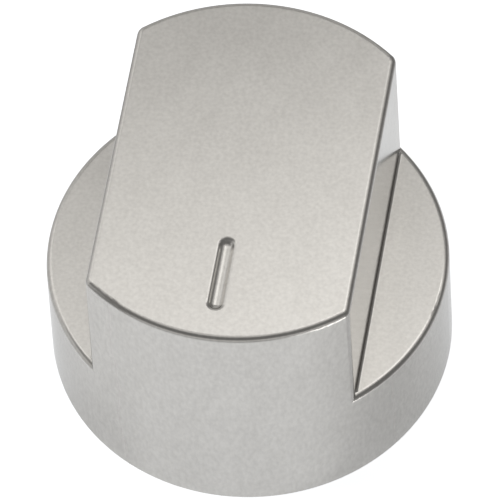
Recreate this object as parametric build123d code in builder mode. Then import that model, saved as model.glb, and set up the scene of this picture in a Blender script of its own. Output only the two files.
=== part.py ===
"""Oven control knob: a die-cast knob with a bar grip and a moulded hub for a 6 mm D spindle.

Millimetres. The origin is the centre of the base plane, +Z points away from the panel through the top face,
and the pointer groove runs towards -Y.
"""
from build123d import *
import math
import os

# Outside of the casting
base_diameter = 40.0        # skirt, at the rim that faces the panel
height = 28.65              # rim to top face
shoulder_height = 13.15     # rim to the two flat shoulders beside the grip
grip_width = 25.6           # across the flat sides, at the top face
draft = 0.65                # degrees that every outer wall leans in
corner_radius = 1.2         # upright corners of the grip
edge_radius = 0.6           # edge of the top face
shoulder_radius = 0.6       # outer edge of the shoulders
foot_radius = 0.3           # hollow where the grip's sides meet the shoulders
rim_break = 0.25            # outer edge of the rim

# Pointer, a ball-ended groove in the top face
pointer_length = 8.1
pointer_centre = 12.2       # from the axis to the middle of the groove
pointer_ball = 0.8          # radius of the groove's section
pointer_depth = 0.48
pointer_lip = 0.35          # rounded edge

# Hollow underside
wall = 2.0                  # skirt, and the sides of the grip
shoulder_roof = 2.0
top_roof = 2.3
hollow_corner = 1.5         # upright corners of the grip's hollow
ceiling_radius = 0.8        # where the grip's walls meet its ceiling

# Boss and ribs inside the hollow
boss_wall = 2.0
boss_draft = 1.0            # degrees
boss_recess = 2.5           # rim to the boss's open end
rib_recess = 4.0            # rim to the ribs' lower edges
rib_thickness = 1.2
rib_draft = 0.5             # degrees
socket_end_gap = 0.4        # above the hub's blind end

# Spindle that the knob fits, and its bore in the hub
spindle_diameter = 6.0
spindle_flat_depth = 1.5    # cut away by the flat
lead_clearance = 0.25       # radial, on the round stretch of the spindle
bore_clearance = 0.05       # radial and at the flat, on the flatted stretch
lead_depth = 4.0            # round lead-in, from the mouth
bore_depth = 14.0           # whole bore, from the mouth
mouth_chamfer = 0.4

# Hub
hub_wall = 2.25             # outside the round lead-in
hub_flat_wall = 1.35        # outside the lead-in, at the two flats that stop the hub turning
hub_end_wall = 2.5          # beyond the bore's blind end
hub_chamfer = 0.5
seat_clearance = 0.05       # between the hub's spigot and its socket
flange_lip = 1.5            # beyond the spigot
flange_thickness = 1.5

# Spring clip and its slot in the hub
clip_thickness = 0.3
clip_width = 3.0
clip_preload = 0.25         # how far the bow stands past the flat of the bore
clip_crown = 1.6            # straight stretch at the top of the bow
clip_bow_radius = 1.2       # bends of the bow, on the strip's middle
clip_tip = 0.8              # end that rests on the slot's wall
clip_hook = 1.5             # reach of the hook over the flange
clip_bend = 0.5             # bend of the hook, on the strip's middle
clip_side_gap = 0.1
clip_end_gap = 0.6          # between the tip and the blind end of the slot
clip_start_gap = 0.3        # between the lead-in and the start of the bow
clip_sink = 0.05            # hook below the face of the flange
slot_pocket = 0.6           # outside the round lead-in

overcut = 1.0               # how far a cut runs past the surface it opens
round_stock = 0.015         # left on the grip's corners until the outer cone trims them
edge_stock = 0.005          # between the outer cone and the start of the shoulder's rounding

lean = math.tan(math.radians(draft))
boss_lean = math.tan(math.radians(boss_draft))
base_radius = base_diameter / 2
grip_root = shoulder_height - shoulder_radius - wall
shoulder_ceiling = shoulder_height - shoulder_roof
top_ceiling = height - top_roof
upright_lean = 2 * draft + 1

spindle_radius = spindle_diameter / 2
lead_radius = spindle_radius + lead_clearance
bore_radius = spindle_radius + bore_clearance
bore_flat = spindle_radius - spindle_flat_depth + bore_clearance
mouth = boss_recess - flange_thickness
lead_end = mouth + lead_depth
bore_end = mouth + bore_depth
spigot_radius = lead_radius + hub_wall
spigot_half_width = lead_radius + hub_flat_wall
spigot_end = bore_end + hub_end_wall
socket_radius = spigot_radius + seat_clearance
boss_radius = socket_radius + boss_wall
slot_wall = lead_radius + slot_pocket
slot_width = clip_width + 2 * clip_side_gap


def skirt_radius(z):
    """Radius of the outer cone at height z."""
    return base_radius - z * lean


def grip_half_width(z):
    """Half the distance between the grip's flat sides at height z."""
    return grip_width / 2 + (height - z) * lean


def grip_outline(z, inset, corner):
    """Corners of a six-sided section, inset from the grip's faces at height z.

    Two sides are the flat sides. The other four touch the round ends where a corner rounding of the given radius
    runs into them, so that rounding these corners and trimming to the cone leaves a smooth outline.
    """
    side = grip_half_width(z) - inset
    ring = skirt_radius(z) - inset + round_stock
    turn = math.acos((side - corner) / (ring - corner))
    side_end = (ring - side * math.cos(turn)) / math.sin(turn)
    apex = ring / math.sin(turn)
    return [(side, -side_end), (side, side_end), (0, apex), (-side, side_end), (-side, -side_end), (0, -apex)]


# Grip, square at its foot and with its round ends still in the rough
with BuildPart() as grip:
    with BuildSketch(Plane.XY.offset(grip_root)):
        Polygon(*grip_outline(grip_root, 0, corner_radius), align=None)
    extrude(amount=height - grip_root, taper=draft)
    fillet(grip.edges().filter_by(Axis.Z, tolerance=upright_lean), corner_radius)
    fillet(grip.faces().sort_by(Axis.Z)[-1].edges(), edge_radius)

# What the rounding of the shoulder's edge takes away, on both sides of the grip
with BuildPart() as shoulder_edge:
    edge_start = shoulder_height - shoulder_radius
    edge_ring = skirt_radius(edge_start) + edge_stock
    with BuildSketch(Plane.XZ):
        with BuildLine():
            RadiusArc((edge_ring - shoulder_radius, shoulder_height), (edge_ring, edge_start), shoulder_radius)
            Polyline(
                (edge_ring, edge_start),
                (edge_ring + wall, edge_start),
                (edge_ring + wall, shoulder_height + foot_radius),
                (edge_ring - shoulder_radius - foot_radius, shoulder_height + foot_radius),
                (edge_ring - shoulder_radius, shoulder_height),
            )
        make_face()
    revolve(axis=Axis.Z)
    add(grip, mode=Mode.SUBTRACT)

# Core of the casting: the hollow, one wall thickness inside the grip and the skirt
with BuildPart() as core:
    with BuildSketch():
        Polygon(*grip_outline(0, wall, hollow_corner), align=None)
    extrude(amount=top_ceiling, taper=draft)
    fillet(core.edges().filter_by(Axis.Z, tolerance=upright_lean), hollow_corner)
    fillet(core.faces().sort_by(Axis.Z)[-1].edges(), ceiling_radius)
    with BuildSketch():
        Circle(base_diameter)
    extrude(amount=shoulder_ceiling)
    with BuildSketch(Plane.XZ) as core_profile:
        with BuildLine():
            Polyline(
                (0, -overcut),
                (skirt_radius(-overcut) - wall, -overcut),
                (skirt_radius(top_ceiling) - wall, top_ceiling),
                (0, top_ceiling),
                close=True,
            )
        make_face()
        fillet(core_profile.vertices().group_by(Axis.Y)[-1].sort_by(Axis.X)[-1], ceiling_radius)
    revolve(axis=Axis.Z, mode=Mode.INTERSECT)
    # The boss and the four ribs stay in metal
    with BuildSketch(Plane.XZ):
        with BuildLine():
            Polyline(
                (0, boss_recess),
                (boss_radius, boss_recess),
                (boss_radius + (height - boss_recess) * boss_lean, height),
                (0, height),
                close=True,
            )
        make_face()
    revolve(axis=Axis.Z, mode=Mode.SUBTRACT)
    with BuildSketch(Plane.XY.offset(rib_recess)):
        Rectangle(base_diameter, rib_thickness)
        Rectangle(rib_thickness, base_diameter)
    extrude(amount=height - rib_recess, taper=-rib_draft, mode=Mode.SUBTRACT)

# Knob body: the casting, one piece
with BuildPart() as knob_body:
    with BuildSketch():
        Circle(base_diameter)
    extrude(amount=shoulder_height)
    add(grip)
    shoulders = knob_body.faces().filter_by(Axis.Z).group_by(Axis.Z)[-2][0]
    fillet(shoulders.inner_wires()[0].edges(), foot_radius)
    # Outer cone, which trims the skirt and the grip's round ends alike
    with BuildSketch(Plane.XZ) as cone_profile:
        with BuildLine():
            Polyline(
                (0, 0),
                (base_radius, 0),
                (skirt_radius(height), height),
                (0, height),
                close=True,
            )
        make_face()
        chamfer(cone_profile.vertices().group_by(Axis.Y)[0].sort_by(Axis.X)[-1], rim_break)
        fillet(cone_profile.vertices().group_by(Axis.Y)[-1].sort_by(Axis.X)[-1], edge_radius)
    revolve(axis=Axis.Z, mode=Mode.INTERSECT)
    add(shoulder_edge, mode=Mode.SUBTRACT)
    # Pointer groove
    pointer_reach = math.sqrt(pointer_ball**2 - (pointer_ball - pointer_depth) ** 2)
    pointer_run = pointer_length / 2 - pointer_reach
    pointer_axis = height + pointer_ball - pointer_depth
    with BuildSketch(Plane.YZ):
        with BuildLine():
            Line((-pointer_centre - pointer_run - pointer_ball, pointer_axis),
                 (-pointer_centre + pointer_run + pointer_ball, pointer_axis))
            CenterArc((-pointer_centre + pointer_run, pointer_axis), pointer_ball, 0, -90)
            Line((-pointer_centre + pointer_run, pointer_axis - pointer_ball),
                 (-pointer_centre - pointer_run, pointer_axis - pointer_ball))
            CenterArc((-pointer_centre - pointer_run, pointer_axis), pointer_ball, -90, -90)
        make_face()
    revolve(axis=Axis((0, 0, pointer_axis), (0, 1, 0)), mode=Mode.SUBTRACT)
    fillet(knob_body.faces().filter_by(Axis.Z).sort_by(Axis.Z)[-1].inner_wires()[0].edges(), pointer_lip)
    # Underside
    add(core, mode=Mode.SUBTRACT)
    with BuildSketch(Plane.XY.offset(boss_recess - overcut)):
        Circle(socket_radius)
        Rectangle(2 * (spigot_half_width + seat_clearance), 2 * socket_radius, mode=Mode.INTERSECT)
    extrude(amount=spigot_end + socket_end_gap - boss_recess + overcut, mode=Mode.SUBTRACT)
knob_body.part.label = "knob_body"

# Shaft insert: the moulded hub
with BuildPart() as shaft_insert:
    with BuildSketch(Plane.XY.offset(mouth)):
        Circle(spigot_radius + flange_lip)
    extrude(amount=flange_thickness)
    with BuildSketch(Plane.XY.offset(mouth)):
        Circle(spigot_radius)
        Rectangle(2 * spigot_half_width, 2 * spigot_radius, mode=Mode.INTERSECT)
    extrude(amount=spigot_end - mouth)
    chamfer(shaft_insert.faces().sort_by(Axis.Z)[-1].edges(), hub_chamfer)
    with BuildSketch(Plane.XY.offset(mouth)):
        Circle(lead_radius)
    extrude(amount=lead_depth, mode=Mode.SUBTRACT)
    chamfer(shaft_insert.faces().sort_by(Axis.Z)[0].inner_wires()[0].edges(), mouth_chamfer)
    with BuildSketch(Plane.XY.offset(mouth)):
        Circle(bore_radius)
        with Locations((0, bore_flat)):
            Rectangle(2 * bore_radius, 2 * bore_radius, align=(Align.CENTER, Align.MAX), mode=Mode.INTERSECT)
    extrude(amount=bore_depth, mode=Mode.SUBTRACT)
    with BuildSketch(Plane.XY.offset(mouth)):
        Rectangle(slot_width, slot_wall, align=(Align.CENTER, Align.MIN))
    extrude(amount=bore_depth, mode=Mode.SUBTRACT)
    with BuildSketch(Plane.XY.offset(mouth)):
        with Locations((0, slot_wall)):
            Rectangle(slot_width, clip_hook + clip_side_gap, align=(Align.CENTER, Align.MIN))
    extrude(amount=clip_sink + clip_thickness, mode=Mode.SUBTRACT)
    hook_corner = shaft_insert.edges().filter_by(Axis.X).sort_by(
        lambda edge: abs(edge.center().Y - slot_wall) + abs(edge.center().Z - mouth - clip_sink - clip_thickness)
    )[0]
    fillet(hook_corner, clip_bend)
shaft_insert.part.label = "shaft_insert"

# Spring clip: a strip hooked over the flange, straight past the lead-in, then bowed over the flat of the bore
with BuildPart() as spring_clip:
    strip_wall = slot_wall - clip_thickness / 2
    strip_crown = bore_flat - clip_preload + clip_thickness / 2
    hook_level = mouth + clip_sink + clip_thickness / 2
    bow_start = lead_end + clip_start_gap
    bow_end = bore_end - clip_end_gap - clip_tip
    bow_ramp = (bow_end - bow_start - clip_crown) / 2
    with BuildSketch(Plane.YZ):
        with BuildLine():
            FilletPolyline(
                (slot_wall + clip_hook, hook_level),
                (strip_wall, hook_level),
                (strip_wall, bow_start),
                (strip_crown, bow_start + bow_ramp),
                (strip_crown, bow_end - bow_ramp),
                (strip_wall, bow_end),
                (strip_wall, bow_end + clip_tip),
                radius=[clip_bend, clip_bow_radius, clip_bow_radius, clip_bow_radius, clip_bow_radius],
            )
        trace(line_width=clip_thickness)
    extrude(amount=clip_width / 2, both=True)
spring_clip.part.label = "spring_clip"

os.makedirs("parts", exist_ok=True)
for piece in (knob_body, shaft_insert, spring_clip):
    export_step(piece.part, f"parts/{piece.part.label}.step")
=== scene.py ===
"""Look of the oven control knob: satin nickel casting, black nylon hub and steel clip, on a pale table."""
import math

import bpy
from mathutils import Matrix, Vector

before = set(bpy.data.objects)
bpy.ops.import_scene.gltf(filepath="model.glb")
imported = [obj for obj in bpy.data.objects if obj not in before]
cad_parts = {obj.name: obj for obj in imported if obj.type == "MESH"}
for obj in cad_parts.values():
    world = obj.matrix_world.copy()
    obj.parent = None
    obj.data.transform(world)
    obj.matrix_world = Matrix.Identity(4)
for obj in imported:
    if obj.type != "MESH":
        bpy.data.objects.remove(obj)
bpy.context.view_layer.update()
scene = bpy.context.scene
scene.view_settings.view_transform = "Standard"

# Camera: where the photograph was taken from, in degrees and metres
AZIMUTH = 12.39
ELEVATION = 56.97
ROLL = 3.66
DISTANCE = 0.6675
SENSOR = 36.0
LENS = 488.2
AIM = Vector((0.0, 0.0, 0.013))
AIM_RIGHT = 0.000226        # the aim stands this far left of the middle of the picture
AIM_UP = 0.000609           # and this far below it

# Range that a noise texture mostly keeps to
NOISE_LOW = 0.3
NOISE_HIGH = 0.7

# Satin nickel; scales here and below are in features per metre
NICKEL_DARK = (0.645, 0.631, 0.608, 1.0)
NICKEL_LIGHT = (0.755, 0.741, 0.717, 1.0)
NICKEL_GLANCING = (0.8, 0.8, 0.8, 1.0)
GRAIN_SCALE = 2600.0
GRAIN_STRETCH = (1.0, 1.0, 0.5)
GRAIN_SHARE = 0.7           # of the mottle, the rest being cloud
CLOUD_SCALE = 350.0
CLOUD_STRETCH = (1.0, 0.5, 0.5)
NICKEL_ROUGHNESS = (0.28, 0.29)
CLEARING = (0.6, 0.85)      # turned away this much, the metal starts to mirror clearly and stops clearing
CLEARED = 0.18              # roughness lost by then

# Glass-filled nylon
NYLON_DARK = (0.018, 0.018, 0.019, 1.0)
NYLON_LIGHT = (0.035, 0.035, 0.037, 1.0)
NYLON_SPECULAR = 0.45
NYLON_MOTTLE = 900.0
NYLON_GLOSS = 1800.0
NYLON_ROUGHNESS = (0.42, 0.58)
NYLON_GRAIN = 2500.0
NYLON_BUMP = 0.3
NYLON_RELIEF = 0.00003

# Rolled spring strip
STEEL_DARK = (0.5, 0.5, 0.51, 1.0)
STEEL_LIGHT = (0.62, 0.62, 0.63, 1.0)
STEEL_LINES = 6000.0
STEEL_STRETCH = (1.0, 0.06, 0.06)
STEEL_ROUGHNESS = (0.22, 0.34)

# Table, room and lamp colours
TABLE_REACH = 1.5
TABLE_GREY = (0.5, 0.5, 0.5, 1.0)
TABLE_GLOW = (0.97, 0.985, 1.0, 1.0)
TABLE_SEEN = 0.9            # glow that the camera sees directly
PAINTED_POOL_MIRRORED = 0.57       # painted pool of light that the metal mirrors, in front of the knob
ROOM_COLOUR = (1.0, 0.985, 0.96, 1.0)
ROOM = 0.16
WHITE = (1.0, 1.0, 1.0, 1.0)
WARM = (1.0, 0.985, 0.955)
DAYLIGHT = (1.0, 0.99, 0.97)


def add_camera():
    """The photograph's camera, looking down at the front of the knob from a little to its right."""
    azimuth, elevation, roll = (math.radians(v) for v in (AZIMUTH, ELEVATION, ROLL))
    back = Vector((
        math.sin(azimuth) * math.cos(elevation),
        -math.cos(azimuth) * math.cos(elevation),
        math.sin(elevation),
    ))
    level = Vector((math.cos(azimuth), math.sin(azimuth), 0.0))
    rise = back.cross(level)
    right = math.cos(roll) * level - math.sin(roll) * rise
    up = math.sin(roll) * level + math.cos(roll) * rise
    place = AIM + AIM_RIGHT * right + AIM_UP * up + DISTANCE * back
    data = bpy.data.cameras.new("photo_camera")
    data.sensor_width = SENSOR
    data.lens = LENS
    data.clip_start = 0.01
    data.clip_end = 10.0
    camera = bpy.data.objects.new("photo_camera", data)
    camera.matrix_world = Matrix((
        (right.x, up.x, back.x, place.x),
        (right.y, up.y, back.y, place.y),
        (right.z, up.z, back.z, place.z),
        (0.0, 0.0, 0.0, 1.0),
    ))
    scene.collection.objects.link(camera)
    scene.camera = camera


def shader_tree(name):
    """A new material with an empty node tree, and its output node."""
    material = bpy.data.materials.new(name)
    material.use_nodes = True
    tree = material.node_tree
    tree.nodes.clear()
    return material, tree, tree.nodes.new("ShaderNodeOutputMaterial")


def principled_material(name):
    """A new material, its tree, its Principled shader and the place of each point in the part's frame."""
    material, tree, output = shader_tree(name)
    principled = tree.nodes.new("ShaderNodeBsdfPrincipled")
    tree.links.new(principled.outputs["BSDF"], output.inputs["Surface"])
    return material, tree, principled, tree.nodes.new("ShaderNodeTexCoord").outputs["Object"]


def noise(tree, place, scale, detail, stretch=(1.0, 1.0, 1.0)):
    """Noise in the part's frame. An axis whose stretch is below 1 has longer features."""
    mapping = tree.nodes.new("ShaderNodeMapping")
    mapping.inputs["Scale"].default_value = stretch
    tree.links.new(place, mapping.inputs["Vector"])
    texture = tree.nodes.new("ShaderNodeTexNoise")
    texture.inputs["Scale"].default_value = scale
    texture.inputs["Detail"].default_value = detail
    tree.links.new(mapping.outputs["Vector"], texture.inputs["Vector"])
    return texture.outputs["Fac"]


def mapped(tree, value, start, end, low, high, smooth=False):
    """A value mapped from the range start to end onto the range low to high."""
    node = tree.nodes.new("ShaderNodeMapRange")
    if smooth:
        node.interpolation_type = "SMOOTHSTEP"
    node.inputs["From Min"].default_value = start
    node.inputs["From Max"].default_value = end
    node.inputs["To Min"].default_value = low
    node.inputs["To Max"].default_value = high
    tree.links.new(value, node.inputs["Value"])
    return node.outputs["Result"]


def spread(tree, value, low, high):
    """A noise value mapped onto the range low to high."""
    return mapped(tree, value, NOISE_LOW, NOISE_HIGH, low, high)


def maths(tree, operation, first, second):
    """One Math node, whose second value may be a number."""
    node = tree.nodes.new("ShaderNodeMath")
    node.operation = operation
    tree.links.new(first, node.inputs[0])
    if isinstance(second, float):
        node.inputs[1].default_value = second
    else:
        tree.links.new(second, node.inputs[1])
    return node.outputs[0]


def toned(tree, value, dark, light, principled):
    """Lets a noise value run the shader's colour from dark to light."""
    tone = tree.nodes.new("ShaderNodeMixRGB")
    tone.inputs["Color1"].default_value = dark
    tone.inputs["Color2"].default_value = light
    tree.links.new(spread(tree, value, 0.0, 1.0), tone.inputs["Fac"])
    tree.links.new(tone.outputs["Color"], principled.inputs["Base Color"])


def satin_nickel():
    """Satin nickel plating: a fine grain and a slow cloud in its tone, clearer at a glancing angle."""
    material, tree, principled, place = principled_material("satin_nickel")
    principled.inputs["Metallic"].default_value = 1.0
    principled.inputs["Specular Tint"].default_value = NICKEL_GLANCING
    grain = noise(tree, place, GRAIN_SCALE, 1.5, GRAIN_STRETCH)
    cloud = noise(tree, place, CLOUD_SCALE, 2.0, CLOUD_STRETCH)
    fine = maths(tree, "MULTIPLY", grain, GRAIN_SHARE)
    slow = maths(tree, "MULTIPLY", cloud, 1.0 - GRAIN_SHARE)
    toned(tree, maths(tree, "ADD", fine, slow), NICKEL_DARK, NICKEL_LIGHT, principled)
    facing = tree.nodes.new("ShaderNodeLayerWeight")
    facing.inputs["Blend"].default_value = 0.5
    cleared = mapped(tree, facing.outputs["Facing"], *CLEARING, 0.0, CLEARED)
    gloss = spread(tree, cloud, *NICKEL_ROUGHNESS)
    tree.links.new(maths(tree, "SUBTRACT", gloss, cleared), principled.inputs["Roughness"])
    return material


def moulded_nylon():
    """Black glass-filled nylon with a faint mottle and a slight relief."""
    material, tree, principled, place = principled_material("black_nylon")
    principled.inputs["Specular IOR Level"].default_value = NYLON_SPECULAR
    toned(tree, noise(tree, place, NYLON_MOTTLE, 4.0), NYLON_DARK, NYLON_LIGHT, principled)
    gloss = spread(tree, noise(tree, place, NYLON_GLOSS, 3.0), *NYLON_ROUGHNESS)
    tree.links.new(gloss, principled.inputs["Roughness"])
    bump = tree.nodes.new("ShaderNodeBump")
    bump.inputs["Strength"].default_value = NYLON_BUMP
    bump.inputs["Distance"].default_value = NYLON_RELIEF
    tree.links.new(noise(tree, place, NYLON_GRAIN, 3.0), bump.inputs["Height"])
    tree.links.new(bump.outputs["Normal"], principled.inputs["Normal"])
    return material


def rolled_steel():
    """Bright rolled spring strip, with its rolling lines along its length."""
    material, tree, principled, place = principled_material("spring_steel")
    principled.inputs["Metallic"].default_value = 1.0
    lines = noise(tree, place, STEEL_LINES, 2.0, STEEL_STRETCH)
    toned(tree, lines, STEEL_DARK, STEEL_LIGHT, principled)
    tree.links.new(spread(tree, lines, *STEEL_ROUGHNESS), principled.inputs["Roughness"])
    return material


def seen_glow(tree, seen, mirrored):
    """A strength for what the camera sees directly, another for what is mirrored, none for soft light."""
    path = tree.nodes.new("ShaderNodeLightPath")
    direct = maths(tree, "MULTIPLY", path.outputs["Is Camera Ray"], seen)
    either = maths(tree, "MAXIMUM", path.outputs["Is Glossy Ray"], path.outputs["Is Transmission Ray"])
    return maths(tree, "ADD", direct, maths(tree, "MULTIPLY", either, mirrored))


def near(tree, centre, full, gone, inside, outside):
    """One value within the distance full of a place, changing smoothly to another at the distance gone."""
    length = tree.nodes.new("ShaderNodeVectorMath")
    length.operation = "DISTANCE"
    tree.links.new(tree.nodes.new("ShaderNodeTexCoord").outputs["Object"], length.inputs[0])
    length.inputs[1].default_value = centre
    return mapped(tree, length.outputs["Value"], full, gone, inside, outside, smooth=True)


def painted_mirrored_table(tree):
    """The table as the metal mirrors it, with painted light: a painted pool of light in front of the knob and
    behind it, and painted shadow close beside it.
    """
    # Painted pool of light: the mirrored glow is brightest in front of the knob and fades further out
    front = near(tree, (-0.015, -0.032, 0.0), full=0.025, gone=0.125, inside=PAINTED_POOL_MIRRORED, outside=0.1)
    # Painted shadow of the knob on the table close to its right, as the metal mirrors it
    painted_shadow_right = near(tree, (0.025, -0.014, 0.0), full=0.005, gone=0.018, inside=0.75, outside=1.0)
    # Painted pool of light on the table behind the knob on its right, as the metal mirrors it
    painted_light_behind_right = near(tree, (0.020, 0.034, 0.0), full=0.01, gone=0.055, inside=0.24, outside=0.0)
    # Painted contact shadow on the table beside the knob's lower left, as the metal mirrors it
    painted_contact_shadow_left = near(tree, (-0.014, -0.015, 0.0), full=0.002, gone=0.009, inside=0.86, outside=1.0)
    # Painted pool of light times the painted shadows, as the metal mirrors the table
    painted_pool_and_shadows = maths(tree, "MULTIPLY", maths(tree, "MULTIPLY", front, painted_shadow_right), painted_contact_shadow_left)
    return maths(tree, "ADD", painted_pool_and_shadows, painted_light_behind_right)


def add_table():
    """Pale table, lifted towards white where it is seen or mirrored, which still takes the knob's shadow.
    What the metal mirrors of it carries painted light and painted shadow.
    """
    mesh = bpy.data.meshes.new("floor")
    corners = [(TABLE_REACH * x, TABLE_REACH * y, 0.0) for x, y in ((-1, -1), (1, -1), (1, 1), (-1, 1))]
    mesh.from_pydata(corners, [], [(0, 1, 2, 3)])
    floor = bpy.data.objects.new("floor", mesh)
    scene.collection.objects.link(floor)
    material, tree, output = shader_tree("pale_table")
    diffuse = tree.nodes.new("ShaderNodeBsdfDiffuse")
    diffuse.inputs["Color"].default_value = TABLE_GREY
    glow = tree.nodes.new("ShaderNodeEmission")
    glow.inputs["Color"].default_value = TABLE_GLOW
    tree.links.new(seen_glow(tree, TABLE_SEEN, painted_mirrored_table(tree)), glow.inputs["Strength"])
    total = tree.nodes.new("ShaderNodeAddShader")
    tree.links.new(diffuse.outputs["BSDF"], total.inputs[0])
    tree.links.new(glow.outputs["Emission"], total.inputs[1])
    tree.links.new(total.outputs["Shader"], output.inputs["Surface"])
    mesh.materials.append(material)


def add_room():
    """Dim room round the table; the backdrop behind it is white to the camera."""
    world = bpy.data.worlds.new("studio")
    scene.world = world
    world.use_nodes = True
    tree = world.node_tree
    tree.nodes.clear()
    output = tree.nodes.new("ShaderNodeOutputWorld")
    room = tree.nodes.new("ShaderNodeBackground")
    room.inputs["Color"].default_value = ROOM_COLOUR
    room.inputs["Strength"].default_value = ROOM
    backdrop = tree.nodes.new("ShaderNodeBackground")
    backdrop.inputs["Color"].default_value = WHITE
    backdrop.inputs["Strength"].default_value = 1.0
    path = tree.nodes.new("ShaderNodeLightPath")
    mix = tree.nodes.new("ShaderNodeMixShader")
    tree.links.new(path.outputs["Is Camera Ray"], mix.inputs["Fac"])
    tree.links.new(room.outputs["Background"], mix.inputs[1])
    tree.links.new(backdrop.outputs["Background"], mix.inputs[2])
    tree.links.new(mix.outputs["Shader"], output.inputs["Surface"])


def add_lamp(name, kind, place, aim):
    """A lamp of the given kind at a place, turned to face the aim, and its data."""
    data = bpy.data.lights.new(name, kind)
    lamp = bpy.data.objects.new(name, data)
    lamp.location = place
    lamp.rotation_euler = (Vector(aim) - Vector(place)).to_track_quat("-Z", "Y").to_euler()
    scene.collection.objects.link(lamp)
    return lamp, data


def add_card(name, place, aim, width, depth, radiance, colour=WARM):
    """A rectangular area lamp of the given radiance."""
    data = add_lamp(name, "AREA", place, aim)[1]
    data.shape = "RECTANGLE"
    data.size = width
    data.size_y = depth
    data.energy = radiance * math.pi * width * depth
    data.color = colour


def add_softbox(name, place, width, depth, radiance):
    """A card overhead, facing straight down."""
    add_card(name, place, (place[0], place[1], 0.0), width, depth, radiance)


def add_key(place, aim, cone, blend, radius, energy):
    """A spot lamp with a cone in degrees, which the metal doesn't mirror as a shape of its own."""
    lamp, data = add_lamp("key", "SPOT", place, aim)
    data.spot_size = math.radians(cone)
    data.spot_blend = blend
    data.shadow_soft_size = radius
    data.energy = energy
    lamp.visible_glossy = False


add_camera()
add_room()
add_table()
add_softbox("back_softbox", (-0.11, 0.14, 0.34), width=0.18, depth=0.13, radiance=1.12)
add_softbox("left_softbox", (-0.325, 0.21, 0.34), width=0.25, depth=0.26, radiance=0.9)
add_softbox("right_softbox", (0.07, 0.147, 0.34), width=0.18, depth=0.155, radiance=1.55)
add_card("left_window", (-0.5, 0.15, 0.2), (0.0, 0.15, 0.2), width=0.8, depth=0.4, radiance=0.45,
         colour=DAYLIGHT)
add_card("back_wall", (-0.18, 0.5, 0.22), (-0.18, 0.0, 0.22), width=0.56, depth=0.44, radiance=0.3)
add_card("table_card", (0.06, -0.06, 0.001), (0.06, -0.06, 1.0), width=0.036, depth=0.045, radiance=2.2)
add_softbox("top_softbox", (0.0, 0.0, 0.36), width=0.34, depth=0.14, radiance=0.37)
add_softbox("right_card", (0.27, 0.2, 0.34), width=0.2, depth=0.25, radiance=0.45)
add_card("front_wall", (0.1, -0.6, 0.135), (0.1, 0.0, 0.135), width=1.4, depth=0.25, radiance=0.5)
add_key((-0.42, -0.09, 0.36), (0.0, -0.005, 0.0), cone=13.0, blend=0.7, radius=0.07, energy=6.0)

NODE_MATERIALS = {
    "knob_body": satin_nickel(),
    "shaft_insert": moulded_nylon(),
    "spring_clip": rolled_steel(),
}
for node, material in NODE_MATERIALS.items():
    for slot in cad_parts[node].material_slots:
        slot.material = material
